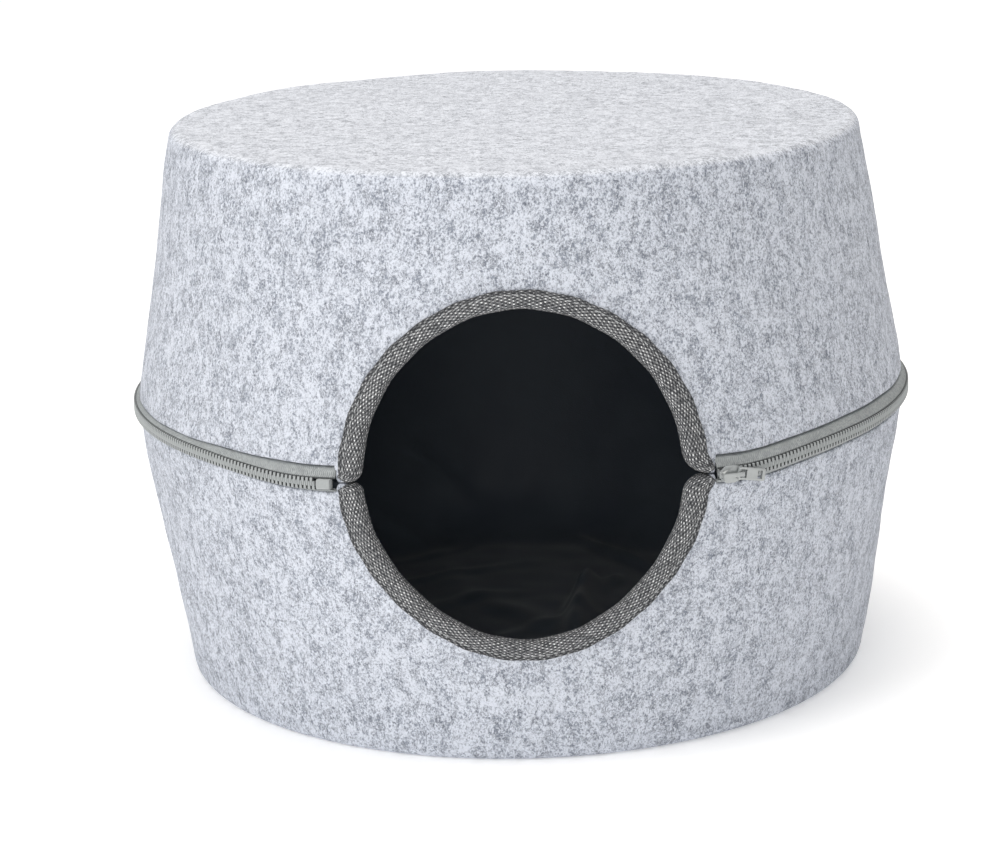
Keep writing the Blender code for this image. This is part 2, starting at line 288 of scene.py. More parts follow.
def half_skin(turns, rims, depth, corner, edge_round, wall_rows, corner_rows):
    """Inset and rise of one face of a moulded half, rows from the rim up the wall and round the corner.

    The rim is a quarter circle, the wall is straight up its slope, and the corner is a quarter circle
    less the slope. edge_round is negative for the inner face, whose rim turns the other way.
    """
    centre_rise = HALF - depth - corner
    end_slant = (centre_rise + (depth + corner) * math.sin(SLOPE)) / math.cos(SLOPE)
    centre_inset = end_slant * math.sin(SLOPE) + (depth + corner) * math.cos(SLOPE)
    start_inset = centre_inset - corner * math.cos(SLOPE)
    start_rise = centre_rise + corner * math.sin(SLOPE)
    bend = np.linspace(0, math.pi / 2, 5)[:-1, None]
    rim_slant = rims + abs(edge_round) * (1 - np.cos(bend))
    rim_depth = depth + edge_round * (1 - np.sin(bend)) + 0 * rims
    rim = np.stack(wall_offset(rim_slant, rim_depth), -1)
    wall_inset, wall_rise = wall_offset(rims + abs(edge_round), depth)
    t = np.linspace(0, 1, wall_rows + 1)[:, None]
    wall = np.stack([wall_inset * (1 - t) + start_inset * t, wall_rise * (1 - t) + start_rise * t], -1)
    turn_in = np.linspace(SLOPE, math.pi / 2, corner_rows + 1)[1:, None] * np.ones(len(turns))
    round_inset = centre_inset - corner * np.cos(turn_in)
    round_part = np.stack([round_inset, centre_rise + corner * np.sin(turn_in)], -1)
    return np.concatenate([rim, wall, round_part])


def half_grid(side, turns, rims, depth, corner, edge_round, rows):
    """World points of one face of a moulded half, rows by columns; its flat end is rings that shrink."""
    wall_rows, corner_rows, end_rows = rows
    skin = half_skin(turns, rims, depth, corner, edge_round, wall_rows, corner_rows)
    walls = oval(turns, skin[..., 0], side * skin[..., 1])
    shrink = np.linspace(1, 0, end_rows + 1)[1:, None, None]
    middle = np.array([0.0, 0.0, HALF + side * (HALF - depth)])
    shrink[-1] = 0.002
    return np.concatenate([walls, middle + (walls[-1] - middle) * shrink])


def moulded_half(name, side, finish, cloth, zip_rim, shape, outer_rows, inner_rows):
    """A closed bowl of cloth: an outer and an inner grid, each closed at its middle and joined at the rim.

    cloth is (depth, thickness, corner radius, rim's rounding). shape moves both grids by the same rule.
    """
    depth, thickness, corner, edge_round = cloth
    turns, rims = shell_columns(side, zip_rim)
    columns = len(turns)
    outer = half_grid(side, turns, rims, depth, corner, edge_round, outer_rows)
    inner = half_grid(side, turns, rims, depth + thickness, corner - thickness, -edge_round, inner_rows)
    outer = outer + shape(outer, side)
    inner = inner + shape(inner, side)
    parts, faces, first = [], [], 0
    for grid, flip in ((outer, False), (inner, True)):
        count = grid.shape[0] * columns
        parts += [grid.reshape(-1, 3), grid[-1].mean(axis=0)[None]]
        skin = grid_faces(grid.shape[0], columns, False, True)
        last = count - columns + np.arange(columns)
        cap = np.stack([last, np.roll(last, -1), np.full(columns, count)], -1)
        faces += [(f[:, ::-1] if flip else f) + first for f in (skin, cap)]
        first += count + 1
    second = outer.shape[0] * columns + 1
    rim = np.arange(columns)
    next_rim = np.roll(rim, -1)
    faces.append(np.stack([next_rim, rim, rim + second, next_rim + second], -1))
    return new_piece(name, np.concatenate(parts), faces, finish)


def felt_shape(points, side):
    """Small lumps and slow swells of pressed felt: outwards on the wall, up and down on the top."""
    x, y, z = points[..., 0], points[..., 1], points[..., 2]
    outwards = np.stack([x / SEMI_X**2, y / SEMI_Y**2, np.zeros_like(z)], -1)
    outwards /= np.maximum(np.linalg.norm(outwards, axis=-1, keepdims=True), 1e-9)
    from_zip = np.abs(z - HALF)
    on_wall = smooth_step(0.004, 0.025, from_zip)
    arch = np.hypot(x, from_zip / math.cos(SLOPE))
    clear = np.minimum(smooth_step(0.088, 0.105, arch) + (y > 0), 1.0)
    on_wall = on_wall * (1 - smooth_step(HALF - 0.020, HALF - 0.004, from_zip))
    swell = 0.0009 * waves(points, 0.11, 3 + side) + 0.00020 * waves(points, 0.022, 8 + side)
    fine = 0.00006 * waves(points, 0.009, 12 + side, 11)
    push = outwards * ((swell * on_wall + fine * np.minimum(1, on_wall + 0.6)) * clear)[..., None]
    if side > 0:
        push[..., 2] += TOP_TILT * x * smooth_step(0.03, HALF, from_zip)
        on_top = smooth_step(HALF - 0.006, HALF - 0.001, from_zip)
        lumps = 0.0007 * waves(points, 0.13, 17) + 0.00015 * waves(points, 0.025, 18)
        push[..., 2] += on_top * (lumps - 0.0004)
    return push


def fold_line(points, start, end, width, height):
    """Height of a soft ridge along a line on the floor: a bell across it that swells and dies along it."""
    start, end = np.array(start), np.array(end)
    way = end - start
    length = np.linalg.norm(way)
    away = points[..., :2] - start
    along = away @ way / length**2
    beside = (away[..., 0] * way[1] - away[..., 1] * way[0]) / length
    swell = np.clip(np.sin(math.pi * np.clip(along, 0, 1)), 0, 1) ** 0.7
    return height * swell * np.exp(-((beside / (width * (0.5 + swell / 2) + 1e-6)) ** 2))


def lining_shape(points, side):
    """Soft creases of loose lining: slow slanting swells, and in the lower half the folds on its floor."""
    x, y, z = points[..., 0], points[..., 1], points[..., 2]
    inwards = np.stack([-x, -y, (HALF - z) * 1.2], -1)
    inwards /= np.maximum(np.linalg.norm(inwards, axis=-1, keepdims=True), 1e-9)
    from_zip = np.abs(z - HALF)
    loose = smooth_step(0.02, 0.09, from_zip)
    bend = 0.016 * waves(points, 0.15, 21 + side)
    slanting = np.sin((x * 0.9 + y * 0.5 + z * 0.9 + bend) * 2 * math.pi / 0.075)
    crossing = np.sin((x * 0.55 - y * 0.8 + z * 0.4 + 1.3 * bend) * 2 * math.pi / 0.058)
    crest = np.maximum(slanting, 0) ** 3 * 0.0022 + np.maximum(crossing, 0) ** 4 * 0.0018
    patch = smooth_step(-0.3, 0.8, waves(points, 0.13, 31 + side))
    push = inwards * (crest * patch * loose + 0.0005 * loose * (1 + waves(points, 0.03, 41)))[..., None]
    if side > 0:
        push[..., 2] += TOP_TILT * x * smooth_step(0.03, HALF, from_zip) - 0.0006 * loose
    if side < 0:
        on_floor = smooth_step(HALF - 0.030, HALF - 0.010, from_zip)
        folds = fold_line(points, (0.036, 0.085), (0.022, -0.045), 0.0065, 0.0130)
        folds += fold_line(points, (0.052, 0.090), (0.020, 0.020), 0.0050, 0.0060)
        folds += fold_line(points, (0.030, 0.172), (0.088, 0.070), 0.0045, 0.0050)
        folds += fold_line(points, (-0.095, 0.060), (-0.030, -0.070), 0.0080, 0.0050)
        push[..., 2] += on_floor * folds
    return push


# Node trees.


class Wire:
    """A socket of a node tree; arithmetic on it adds Math nodes."""

    def __init__(self, tree, socket):
        self.tree = tree
        self.socket = socket

    def math(self, operation, *others, flip=False):
        node = self.tree.nodes.new("ShaderNodeMath")
        node.operation = operation
        terms = [self, *others]
        for slot, term in zip(node.inputs, terms[::-1] if flip else terms):
            plug(self.tree, slot, term)
        return Wire(self.tree, node.outputs[0])

    def __add__(self, other):
        return self.math("ADD", other)

    def __sub__(self, other):
        return self.math("SUBTRACT", other)

    def __mul__(self, other):
        return self.math("MULTIPLY", other)

    def __rsub__(self, other):
        return self.math("SUBTRACT", other, flip=True)

    __radd__ = __add__
    __rmul__ = __mul__

    def sine(self):
        return self.math("SINE")

    def cosine(self):
        return self.math("COSINE")

    def size(self):
        return self.math("ABSOLUTE")

    def between(self, low, high):
        """0 at low, 1 at high and a smooth step in between; low may be the larger."""
        node = self.tree.nodes.new("ShaderNodeMapRange")
        node.interpolation_type = "SMOOTHSTEP"
        turned = low > high
        for key, value in (("Value", self), ("From Min", min(low, high)), ("From Max", max(low, high))):
            plug(self.tree, node.inputs[key], value)
        node.inputs["To Min"].default_value = 1.0 if turned else 0.0
        node.inputs["To Max"].default_value = 0.0 if turned else 1.0
        return Wire(self.tree, node.outputs[0])


def plug(tree, slot, value):
    """Links a wire into a socket, or sets the socket's own value."""
    if isinstance(value, Wire):
        tree.links.new(value.socket, slot)
    elif slot.type == "RGBA" and len(value) == 3:
        slot.default_value = (*value, 1.0)
    else:
        slot.default_value = value


class Finish:
    """A material being built: node() makes any node, and the rest are short ways to the common ones."""

    def __init__(self, name):
        self.material = bpy.data.materials.new(name)
        self.material.use_nodes = True
        self.tree = self.material.node_tree
        self.shader = self.tree.nodes["Principled BSDF"]

    def node(self, kind, settings=None, inputs=None, output=0):
        made = self.tree.nodes.new("ShaderNode" + kind)
        for key, value in (settings or {}).items():
            setattr(made, key, value)
        for key, value in (inputs or {}).items():
            plug(self.tree, made.inputs[key], value)
        return Wire(self.tree, made.outputs[output])

    def place(self, scale=(1, 1, 1), shift=(0, 0, 0), source="Object"):
        at = self.node("TexCoord", output=source)
        return self.node("Mapping", inputs={"Vector": at, "Scale": scale, "Location": shift})

    def parts(self, where):
        made = self.tree.nodes.new("ShaderNodeSeparateXYZ")
        plug(self.tree, made.inputs[0], where)
        return [Wire(self.tree, out) for out in made.outputs]

    def noise(self, where, scale, detail=2.0, rough=0.5, twist=0.0):
        inputs = {"Vector": where, "Scale": scale, "Detail": detail, "Roughness": rough, "Distortion": twist}
        return self.node("TexNoise", inputs=inputs)

    def mix(self, factor, low, high):
        """A colour between low and high by factor."""
        made = self.tree.nodes.new("ShaderNodeMix")
        made.data_type = "RGBA"
        plug(self.tree, made.inputs[0], factor)
        plug(self.tree, made.inputs[6], low)
        plug(self.tree, made.inputs[7], high)
        return Wire(self.tree, made.outputs[2])

    def bump(self, height, distance, strength=1.0):
        inputs = {"Height": height, "Distance": distance, "Strength": strength}
        self.set(Normal=self.node("Bump", inputs=inputs))

    def set(self, **values):
        for key, value in values.items():
            plug(self.tree, self.shader.inputs[key.replace("_", " ")], value)
        return self


def felt_finish():
    """Heather felt: pale blue-grey clouds and mottles, crisp grain, dark flecks and fibres, and painted light:
    a paler top face.
    """
    made = Finish("heather_felt")
    ground = made.place(scale=(1.0, 1.0, 0.78))
    clouds = made.noise(ground, 110.0, 2.0, 0.5)
    mottle = made.noise(ground, 430.0, 4.0, 0.75, 0.25)
    grain = made.noise(made.place(scale=(1.0, 1.0, 0.8), shift=(3.1, 1.7, 0.4)), 1050.0, 3.0, 0.8, 0.4)
    tufts = made.noise(made.place(scale=(1.0, 1.0, 0.6), shift=(7.3, 2.9, 5.1)), 600.0, 2.0, 0.6, 1.0)
    fibre = (tufts - 0.5).size().between(0.050, 0.0) * made.noise(ground, 240.0, 2.0).between(0.48, 0.62)
    flecks = made.noise(made.place(scale=(1.0, 1.0, 0.7), shift=(1.3, 8.9, 2.1)), 560.0, 3.0, 0.75)
    blot = flecks.between(0.58, 0.72)
    tone = (clouds * 0.42 + mottle * 0.90 + grain * 1.6).between(1.18, 1.60)
    colour = made.mix(tone, (0.245, 0.268, 0.318), (0.715, 0.746, 0.818))
    x, _, z = made.parts(made.place())
    # Painted light: the top face is painted paler and less blue, standing in for the light that falls on it
    # from above.
    painted_top_light = (z - x * TOP_TILT).between(HEIGHT - 0.0030, HEIGHT - 0.0014)
    colour = made.mix(painted_top_light * 0.20, colour, (0.860, 0.862, 0.856))
    colour = made.mix(blot * 0.65, colour, (0.165, 0.181, 0.219))
    colour = made.mix(fibre * 0.75, colour, (0.145, 0.158, 0.195))
    made.set(Base_Color=colour, Roughness=0.95, Specular_IOR_Level=0.12)
    made.set(Sheen_Weight=0.08, Sheen_Roughness=0.6)
    made.bump(mottle * 0.6 + grain * 0.7 - fibre * 0.3, 0.0009, 0.8)
    return made.material


def lining_finish():
    """Smooth blue-black lining: a fine weave, a cloudy tone and a soft sheen on its creases."""
    made = Finish("black_lining")
    weave = made.noise(made.place(), 1500.0, 1.0)
    patch = made.noise(made.place(), 14.0, 2.0).between(0.35, 0.65)
    made.set(
        Base_Color=made.mix(patch, (0.105, 0.125, 0.158), (0.128, 0.152, 0.184)),
        Roughness=patch * 0.1 + 0.52,
        Specular_IOR_Level=0.40,
        Sheen_Weight=0.30,
        Sheen_Roughness=0.5,
    )
    made.bump(weave, 0.0002, 0.4)
    return made.material


def binding_finish():
    """Woven tape: a chequer of pale yarn beads over dark gaps, duller past the stitch line."""
    made = Finish("binding_tape")
    along, across, _ = made.parts(made.place(source="UV"))
    wobble = made.noise(made.place(), 260.0, 1.0) * 1.3
    column = (along * (2 * math.pi / BEAD_COLUMNS) + wobble).cosine()
    row = (across * (2 * math.pi / BEAD_ROWS) + wobble * 0.7).cosine()
    tight = column * column
    bead = (tight * tight * column * row).between(-0.20, 0.50)
    fleck = made.noise(made.place(shift=(1.0, 2.0, 3.0)), 700.0, 2.0, 0.7)
    bright = fleck.between(0.36, 0.64)
    hem = across.between(SECTION_END - 0.0030, SECTION_END - 0.0018)
    ground = made.mix(fleck, (0.006, 0.007, 0.008), (0.076, 0.079, 0.086))
    pale = made.mix(bright, (0.200, 0.205, 0.215), (0.930, 0.935, 0.940))
    colour = made.mix(bead * (1 - hem * 0.40), ground, pale)
    made.set(Base_Color=colour, Roughness=0.88, Specular_IOR_Level=0.15)
    made.bump(bead * 0.9 + fleck * 0.4, 0.0005, 0.9)
    return made.material


def tape_finish():
    """Fine grey zip tape: a small herringbone, a fuzzy tone, and a line of painted shade along its edge under
    the teeth.
    """
    made = Finish("zip_tape")
    along, across, _ = made.parts(made.place(source="UV"))
    zigzag = (across * (2 * math.pi / 0.0026)).sine() * 1.2
    twill = (along * (2 * math.pi / 0.0011) + zigzag).sine() * 0.5 + 0.5
    fuzz = made.noise(made.place(), 800.0, 3.0, 0.7)
    slub = made.noise(made.place(), 120.0, 2.0)
    weave = (twill * 0.25 + fuzz * 0.75).between(0.25, 0.75)
    colour = made.mix(weave, (0.225, 0.240, 0.243), (0.460, 0.484, 0.486))
    colour = made.mix(slub.between(0.45, 0.7) * 0.35, colour, (0.225, 0.238, 0.242))
    # Painted shade: the last millimetre of tape at the teeth is darkened, standing in for the shade between the
    # teeth.
    colour = made.mix(across.between(0.0010, 0.0002) * 0.8, colour, (0.016, 0.017, 0.019))
    made.set(Base_Color=colour, Roughness=0.85, Specular_IOR_Level=0.2)
    made.bump(twill * 0.7 + fuzz, 0.0003, 0.7)
    return made.material


def teeth_finish():
    """Moulded teeth: grey, with painted shade down their flanks towards the tape, where the gaps are deep."""
    made = Finish("zip_teeth")
    flank, height, _ = made.parts(made.place(source="UV"))
    speck = made.noise(made.place(), 900.0, 3.0, 0.6)
    # Painted shade: the flanks darken towards the tape's edge, where the deep gaps between the teeth lie in
    # shade.
    painted_gap_shade = flank.between(0.66, 0.94) * height.between(0.0006, 0.0014)
    grey = made.mix(speck, (0.320, 0.338, 0.340), (0.400, 0.422, 0.424))
    made.set(Base_Color=made.mix(painted_gap_shade * 0.90, grey, (0.016, 0.017, 0.018)), Roughness=speck * 0.2 + 0.45)
    made.bump(speck, 0.0001, 0.4)
    return made.material


def plain_finish(name, colour, roughness, metallic, fine, coat=0.0):
    """Moulded or cast surface: a little mottling in its colour and roughness, and a faint orange peel."""
    made = Finish(name)
    speck = made.noise(made.place(), fine, 3.0, 0.6)
    darker = tuple(0.82 * part for part in colour)
    made.set(
        Base_Color=made.mix(speck, darker, colour),
        Roughness=speck * 0.2 + (roughness - 0.1),
        Metallic=metallic,
        Coat_Weight=coat,
    )
    made.bump(speck, 0.0001, 0.4)
    return made.material


# Bound entrance.


def carried(name, path, finish, across=None):
    """A section carried along a path and closed at both ends by fans; path is stations by section points.

    across gives each section point's distance along the cloth; without it the first station's is measured.
    """
    stations, size = path.shape[:2]
    ends = np.stack([path[0].mean(axis=0), path[-1].mean(axis=0)])
    points = np.concatenate([path.reshape(-1, 3), ends])
    ring = np.arange(size)
    turned = np.roll(ring, -1)
    first, last = stations * size, stations * size + 1
    final = (stations - 1) * size
    faces = [
        grid_faces(stations, size, False, True),
        np.stack([turned, ring, np.full(size, first)], -1),
        np.stack([ring + final, turned + final, np.full(size, last)], -1),
    ]
    along = np.concatenate([[0], np.cumsum(np.linalg.norm(np.diff(path.mean(axis=1), axis=0), axis=1))])
    if across is None:
        across = np.concatenate([[0], np.cumsum(np.linalg.norm(np.diff(path[0], axis=0), axis=1))])
    uv = np.stack(np.meshgrid(along, across, indexing="ij"), -1).reshape(-1, 2)
    uv = np.concatenate([uv, [[along[0], across.mean()], [along[-1], across.mean()]]])
    return new_piece(name, points, faces, finish, uv)


def fold_section(length, station):
    """The folded tape as (along, depth) points: out over the back, round the nose and back over the front.

    The nose is half an ellipse. The front swells between the nose and the stitch line, where it is drawn
    down, and lifts again to its rounded edge. station counts stitches along the entrance.
    """
    stack = LINING_DEPTH + LINING
    front, back = -BINDING_GAP - BINDING, stack + BINDING_GAP + BINDING
    middle, reach = (front + back) / 2, (back - front) / 2
    nose = BINDING_NOSE
    bend = np.linspace(math.pi / 2, -math.pi / 2, 17)
    flat = np.linspace(1, 0, 17)[:-1]
    skins = []
    for inside in (0.0, BINDING):
        skins.append(np.concatenate([
            np.stack([nose + (length - nose) * flat, np.full(16, back - inside)], -1),
            np.stack([nose - (nose - inside) * np.cos(bend), middle + (reach - inside) * np.sin(bend)], -1),
            np.stack([nose + (length - nose) * flat[::-1], np.full(16, front + inside)], -1),
        ]))
    outer, inner = skins
    stitch = length - STITCH_INSET
    pull = 0.75 + 0.25 * math.cos(2 * math.pi * station)
    for row in skins:
        at = row[:, 0]
        swell = 0.00050 * np.sin(math.pi * np.clip(at / stitch, 0, 1)) ** 0.8
        dip = 0.00034 * pull * np.exp(-(((at - stitch) / 0.0007) ** 2))
        lift = 0.00020 * smooth_step(stitch, length, at)
        row[:, 1] -= np.where(row[:, 1] < middle, swell - dip + lift, 0.0)
    scallop = 0.00007 * math.cos(2 * math.pi * station) + 0.00018 * math.sin(0.9 * station)
    outer[:, 0] += scallop * (1 - smooth_step(0.0, 0.35, outer[:, 0] / length))
    edge = 0.00006 * math.cos(2 * math.pi * station + 1) + 0.00022 * math.sin(1.3 * station)
    for row in skins:
        row[:, 0] += edge * smooth_step(0.7, 1.0, row[:, 0] / length)
    round_off = BINDING / 2
    outer[-1] += (-0.00025, round_off * 0.5)
    inner[-1] += (-0.00025, -round_off * 0.5)
    return np.concatenate([outer, inner[::-1]])


def lie(section):
    """Distance of each point of a folded section along the tape, counted up the outside and back down."""
    step = np.linalg.norm(np.diff(section, axis=0), axis=1)
    half = len(section) // 2
    along = np.concatenate([[0], np.cumsum(step[: half - 1])])
    return np.concatenate([along, along[::-1]])


# How far apart the woven beads stand, and how wide the folded tape is, laid flat.
BEAD_COLUMNS = 0.00350
BEAD_ROWS = 0.00148
SECTION = fold_section(BINDING_WIDTH + BINDING_GAP + BINDING, 0.0)
SECTION_END = float(lie(SECTION).max())


def binding_lines():
    """The fold line and the outer line of the folded tape, as matching (x, slant) points."""
    path = edge_path(130)
    fold = shifted(path, -BINDING - BINDING_GAP)
    outer = shifted(path, BINDING_WIDTH)
    share = (np.arange(EAR_STEPS) / EAR_STEPS)[:, None]
    right_end = np.array([BINDING_END["right"], BINDING_END_HEIGHT])
    left_end = np.array([-BINDING_END["left"], BINDING_END_HEIGHT])
    outer[:EAR_STEPS] = (1 - share) * right_end + share * outer[EAR_STEPS]
    outer[-EAR_STEPS:] = ((1 - share) * left_end + share * outer[-1 - EAR_STEPS])[::-1]
    return fold, outer


def binding_piece(name, side, finish):
    """The folded tape over one half of the entrance: its section stands across each pair of line points."""
    edge, tip = binding_lines()
    way = tip - edge
    length = np.linalg.norm(way, axis=1)
    way /= length[:, None]
    run = np.concatenate([[0], np.cumsum(np.linalg.norm(np.diff(edge, axis=0), axis=1))])
    path = []
    for i in range(len(edge)):
        section = fold_section(length[i], run[i] / STITCH_PITCH)
        at = edge[i] + section[:, :1] * way[i]
        path.append(front_wall(at[:, 0], at[:, 1], section[:, 1], side))
    return carried(name, np.array(path), finish, lie(SECTION))


def stitch_row(name, side, finish):
    """Short bowed threads sunk in the front flap, a little in from its outer edge, one every pitch."""
    edge, tip = binding_lines()
    way = tip - edge
    length = np.linalg.norm(way, axis=1, keepdims=True)
    line = edge + way * (1 - STITCH_INSET / length)
    run = np.concatenate([[0], np.cumsum(np.linalg.norm(np.diff(line, axis=0), axis=1))])
    count = int(run[-1] / STITCH_PITCH)
    middle = (np.arange(count) + 0.5) * run[-1] / count
    step = np.linspace(-1, 1, 7)
    at = middle[:, None] + step * STITCH_PITCH * 0.34
    x, s = np.interp(at, run, line[:, 0]), np.interp(at, run, line[:, 1])
    depth = -BINDING_GAP - BINDING + 0.00018 - 0.00036 * (1 - step**2) * np.ones((count, 1))
    core = front_wall(x, s, depth, side)
    ahead = np.gradient(core, axis=1)
    ahead /= np.linalg.norm(ahead, axis=-1, keepdims=True)
    out = front_wall(x, s, depth - 0.001, side) - core
    out /= np.linalg.norm(out, axis=-1, keepdims=True)
    beside = np.cross(ahead, out)
    turn = np.linspace(0, 2 * math.pi, 7)[:-1]
    radius = 0.00030 * np.sqrt(np.clip(1 - step**4, 0.02, 1))[None, :, None, None]
    ring = np.cos(turn)[:, None] * out[:, :, None] + np.sin(turn)[:, None] * beside[:, :, None]
    tubes = core[:, :, None] + radius * ring
    sides = grid_faces(7, 6, False, True)
    caps = np.array([[5, 4, 3, 2, 1, 0], [36, 37, 38, 39, 40, 41]])
    starts = (np.arange(count) * 42)[:, None, None]
    faces = [(sides + starts).reshape(-1, 4), (caps + starts).reshape(-1, 6)]
    return new_piece(name, tubes.reshape(-1, 3), faces, finish)


# Zip.


def zip_turns(right_x, left_x, steps):
    """Even angles from the right of the entrance round the back to the left of it."""
    start = float(front_turn(right_x))
    end = 2 * math.pi + float(front_turn(-left_x))
    return np.linspace(start, end, steps)


def tape_piece(name, side, finish):
    """A zip tape: it comes down behind the felt, turns out under the rim and lies flat to the chain's edge.

    Each bend is (depth, share of the way from the teeth's edge to the felt's rim), and the rim's own height
    at each angle stretches them.
    """
    teeth_edge = 0.0025
    bends = np.array([
        (0.0047, 2.1), (0.0047, 1.25), (0.0042, 0.95), (0.0024, 0.86), (0.0008, 0.76), (0.0000, 0.55),
        (-0.0008, 0.25), (-0.0015, 0.0),
    ])
    t = np.linspace(0, len(bends) - 1, 29)
    fine = np.stack([np.interp(t, np.arange(len(bends)), bends[:, k]) for k in (0, 1)], -1)
    fine[1:-1] = (fine[:-2] + 2 * fine[1:-1] + fine[2:]) / 4
    turns = zip_turns(TAPE_START["right"], TAPE_START["left"], 420)[:, None]
    hidden = fine[:, 1] > 1.2
    rim = rim_height(turns, side)
    slant = teeth_edge + fine[:, 1] * (rim - teeth_edge) + np.where(hidden, (fine[:, 1] - 1.2) * 0.009, 0.0)
    inset, rise = wall_offset(slant, fine[:, 0])
    centre = np.stack([inset, rise], -1)
    ahead = np.gradient(centre, axis=1)
    ahead /= np.linalg.norm(ahead, axis=-1, keepdims=True)
    across = np.stack([ahead[..., 1], -ahead[..., 0]], -1) * TAPE / 2
    section = np.concatenate([centre + across, (centre - across)[:, ::-1]], axis=1)
    path = oval(turns, section[..., 0], side * section[..., 1])
    run = np.concatenate([[0], np.cumsum(np.linalg.norm(np.diff(path[0], axis=0), axis=1))])
    return carried(name, path, finish, np.abs(run - run[len(t) - 1]))


def chain_places(start, count):
    """Middle points, tangents and outward directions at equal steps along the zip from an angle."""
    turn = zip_turns(CHAIN_START["right"], CHAIN_START["left"], 20001)
    line = oval(turn, 0.0, 0.0)
    run = np.concatenate([[0], np.cumsum(np.linalg.norm(np.diff(line, axis=0), axis=1))])
    at = np.interp(start + np.arange(count) * TOOTH_PITCH, run, turn)
    middle = oval(at, 0.0, 0.0)
    tangent = np.stack([-SEMI_X * np.sin(at), SEMI_Y * np.cos(at), np.zeros(count)], -1)
    tangent /= np.linalg.norm(tangent, axis=1, keepdims=True)
    out = np.stack([tangent[:, 1], -tangent[:, 0], np.zeros(count)], -1)
    return middle, tangent, out, run[-1]


def tooth_shape():
    """One tooth as a rounded wedge: wide at the tape's edge, waisted, with a head past the middle.

    Rows of (height above the middle, half width along the zip, outward from, outward to).
    """
    return np.array([
        (0.0027, 0.00080, 0.0009, 0.0020),
        (0.0024, 0.00092, 0.0004, 0.0023),
        (0.0014, 0.00090, 0.0004, 0.0023),
        (0.0007, 0.00056, 0.0004, 0.0023),
        (-0.0006, 0.00060, 0.0004, 0.0023),
        (-0.0011, 0.00042, 0.0006, 0.0020),
    ])


def teeth_row(name, side, finish):
    """One side's teeth, each a stack of six octagons from the tape's edge to past the middle.

    A point's uv pair is its share of the half width and its height above the middle.
    """
    length = chain_places(0.0, 1)[3]
    start = 0.0007 + (TOOTH_PITCH / 2 if side < 0 else 0.0)
    count = int((length - start - 0.0007) / TOOTH_PITCH) + 1
    middle, tangent, out, _ = chain_places(start, count)
    rows = tooth_shape()
    corner = [(-1, -0.6), (-1, 0.6), (-0.6, 1), (0.6, 1), (1, 0.6), (1, -0.6), (0.6, -1), (-0.6, -1)]
    corner = np.array(corner)
    along = rows[:, 1:2] * corner[None, :, 0]
    outward_by = (rows[:, 2:3] + rows[:, 3:4]) / 2 + (rows[:, 3:4] - rows[:, 2:3]) / 2 * corner[None, :, 1]
    up = np.broadcast_to(side * rows[:, :1], along.shape)
    local = np.stack([along, outward_by, up], -1)
    frame_of = np.stack([tangent, out, np.broadcast_to([0.0, 0.0, 1.0], tangent.shape)], 1)
    points = middle[:, None, None] + np.einsum("rck,nkj->nrcj", local, frame_of)
    size = rows.shape[0] * 8
    starts = (np.arange(count) * size)[:, None, None]
    sides = grid_faces(rows.shape[0], 8, False, True)
    caps = np.array([np.arange(8)[::-1], np.arange(8) + size - 8])
    flank = np.broadcast_to(np.abs(corner[:, 0]), along.shape)
    height = np.broadcast_to(rows[:, :1], along.shape)
    uv = np.broadcast_to(np.stack([flank, height], -1), (count, *along.shape, 2))
    faces = [(sides + starts).reshape(-1, 4), (caps + starts).reshape(-1, 8)]
    piece = new_piece(name, points, faces, finish, uv)
    sharpen(piece, 50)
    return piece


def softened(name, node, finish, width, slide):
    """A copy of a CAD solid's shape, moved with the zip's line, its edges rounded by a bevel."""
    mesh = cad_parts[node].data.copy()
    work = bmesh.new()
    work.from_mesh(mesh)
    bmesh.ops.remove_doubles(work, verts=work.verts, dist=1e-6)
    bmesh.ops.dissolve_limit(work, angle_limit=math.radians(2), verts=work.verts, edges=work.edges)
    work.to_mesh(mesh)
    work.free()
    at = np.empty(len(mesh.vertices) * 3)
    mesh.vertices.foreach_get("co", at)
    at = at.reshape(-1, 3)
    at[:, :2] += slide
    at[:, 2] -= sag(np.arctan2(at[:, 1] / SEMI_Y, at[:, 0] / SEMI_X), 0.0)
    mesh.vertices.foreach_set("co", at.ravel())
    mesh.materials.clear()
    mesh.materials.append(finish)
    mesh.shade_smooth()
    piece = bpy.data.objects.new(name, mesh)
    bpy.context.scene.collection.objects.link(piece)
    bevel = piece.modifiers.new("rounded_edges", "BEVEL")
    bevel.width = width
    bevel.segments = 3
    bevel.limit_method = "ANGLE"
    bevel.angle_limit = math.radians(30)
    bevel.harden_normals = True
    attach(piece, "root")
    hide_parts(node)
    return piece


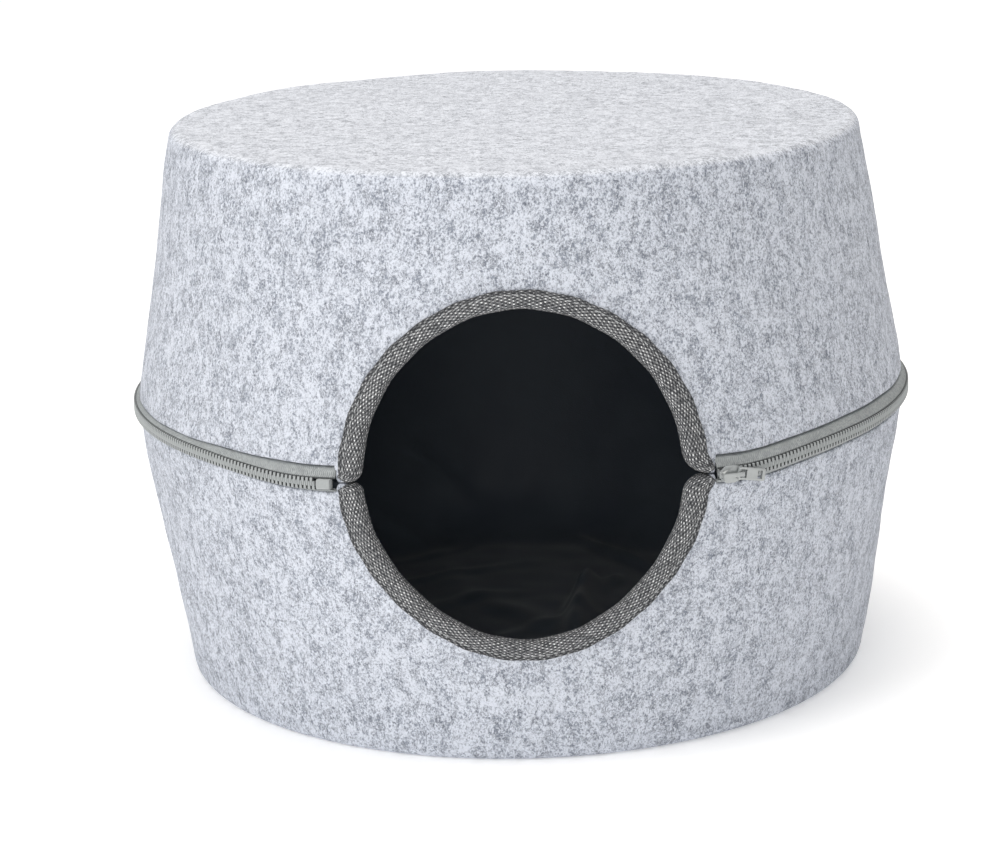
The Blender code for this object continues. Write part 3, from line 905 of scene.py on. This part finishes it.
def main():
    """Makes every cloth and fitting, and hides the CAD parts they stand in for."""
    felt = felt_finish()
    lining = lining_finish()
    binding = binding_finish()
    tape = tape_finish()
    teeth = teeth_finish()
    block = plain_finish("zip_block", (0.40, 0.42, 0.42), 0.6, 0.0, 900.0)
    metal = plain_finish("zip_paint", (0.44, 0.46, 0.46), 0.34, 0.45, 600.0, 0.3)
    thread = plain_finish("binding_thread", (0.50, 0.51, 0.52), 0.7, 0.0, 900.0)
    for word, side in (("upper", 1), ("lower", -1)):
        cloth = (0.0, FELT, FELT_CORNER, FELT_ROUND)
        rows = ((62, 12, 24), (20, 6, 6))
        shell = moulded_half(f"{word}_felt", side, felt, cloth, rim_height, felt_shape, *rows)
        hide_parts(f"{word}_shell")
        cloth = (LINING_DEPTH, LINING, LINING_CORNER, LINING_ROUND)
        rows = ((16, 10, 30), (34, 20, 60))
        inside = moulded_half(f"{word}_loose_lining", side, lining, cloth, lining_rim, lining_shape, *rows)
        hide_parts(f"{word}_lining")
        edge = binding_piece(f"{word}_folded_binding", side, binding)
        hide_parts(f"{word}_binding")
        stitches = stitch_row(f"{word}_binding_stitches", side, thread)
        band = tape_piece(f"{word}_woven_tape", side, tape)
        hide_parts(f"{word}_zip_tape")
        row = teeth_row(f"{word}_teeth", side, teeth)
        if side > 0:
            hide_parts("zip_chain")
    for name, node, finish, slot, width, slide in (
        ("start_block", "zip_start_box", block, "zip_teeth", 0.0008, BLOCK_SLIDE),
        ("slider_body", "zip_slider", metal, "zip_metal", 0.00025, SLIDE),
        ("pull_tab", "zip_pull", metal, "zip_metal", 0.00025, SLIDE),
    ):
        softened(name, node, finish, width, slide)


# Floor, light and camera.


def studio():
    """White floor and surround, a soft key light from the upper left, a broad one above, one in front."""
    floor_mesh = bpy.data.meshes.new("floor")
    reach = 6.0
    corners = [(-reach, -reach, 0), (reach, -reach, 0), (reach, reach, 0), (-reach, reach, 0)]
    floor_mesh.from_pydata(corners, [], [(0, 1, 2, 3)])
    floor = bpy.data.objects.new("floor", floor_mesh)
    bpy.context.scene.collection.objects.link(floor)
    paper = Finish("pale_floor")
    grain = paper.noise(paper.place(), 6.0, 2.0)
    paper.set(Base_Color=paper.mix(grain, (0.90, 0.90, 0.90), (0.93, 0.93, 0.93)), Roughness=0.9)
    far = paper.node("VectorMath", {"operation": "LENGTH"}, {0: paper.place()}, output=1).between(0.4, 2.4)
    paper.set(Emission_Color=paper.mix(far, (0.28, 0.28, 0.28), (0.66, 0.66, 0.66)), Emission_Strength=1.0)
    floor_mesh.materials.append(paper.material)
    world = bpy.data.worlds.new("surround")
    world.use_nodes = True
    tree = world.node_tree
    seen = tree.nodes.new("ShaderNodeLightPath")
    strength = tree.nodes.new("ShaderNodeMapRange")
    strength.inputs["To Min"].default_value = 0.32
    strength.inputs["To Max"].default_value = 1.0
    tree.links.new(seen.outputs["Is Camera Ray"], strength.inputs["Value"])
    tree.links.new(strength.outputs[0], tree.nodes["Background"].inputs[1])
    tree.nodes["Background"].inputs[0].default_value = (1.0, 1.0, 1.0, 1.0)
    bpy.context.scene.world = world
    bpy.context.scene.view_settings.view_transform = "Standard"
    lamps = (
        ("key", (-1.7, -1.4, 1.7), 1.5, 23.0, (1.0, 1.0, 1.0)),
        ("top", (0.0, 0.1, 2.2), 1.8, 40.0, (1.0, 0.970, 0.935)),
        ("front", (-0.3, -2.5, 0.62), 1.6, 12.0, (1.0, 1.0, 1.0)),
    )
    for name, at, size, power, colour in lamps:
        lamp = bpy.data.lights.new(name, "AREA")
        lamp.size = size
        lamp.color = colour
        lamp.energy = power
        holder = bpy.data.objects.new(name, lamp)
        holder.location = at
        holder.rotation_euler = (CAMERA_AIM - Vector(at)).to_track_quat("-Z", "Y").to_euler()
        bpy.context.scene.collection.objects.link(holder)


def photo_camera():
    """The camera of the photo, everything sharp."""
    data = bpy.data.cameras.new("camera")
    data.sensor_width = 36.0
    data.lens = CAMERA_LENS
    data.shift_x, data.shift_y = CAMERA_SHIFT
    data.dof.use_dof = False
    camera = bpy.data.objects.new("camera", data)
    aim = (CAMERA_AIM - CAMERA_AT).to_track_quat("-Z", "Y").to_matrix().to_4x4()
    camera.matrix_world = Matrix.Translation(CAMERA_AT) @ aim @ Matrix.Rotation(CAMERA_ROLL, 4, "Z")
    bpy.context.scene.collection.objects.link(camera)
    bpy.context.scene.camera = camera


photo_camera()
studio()
main()
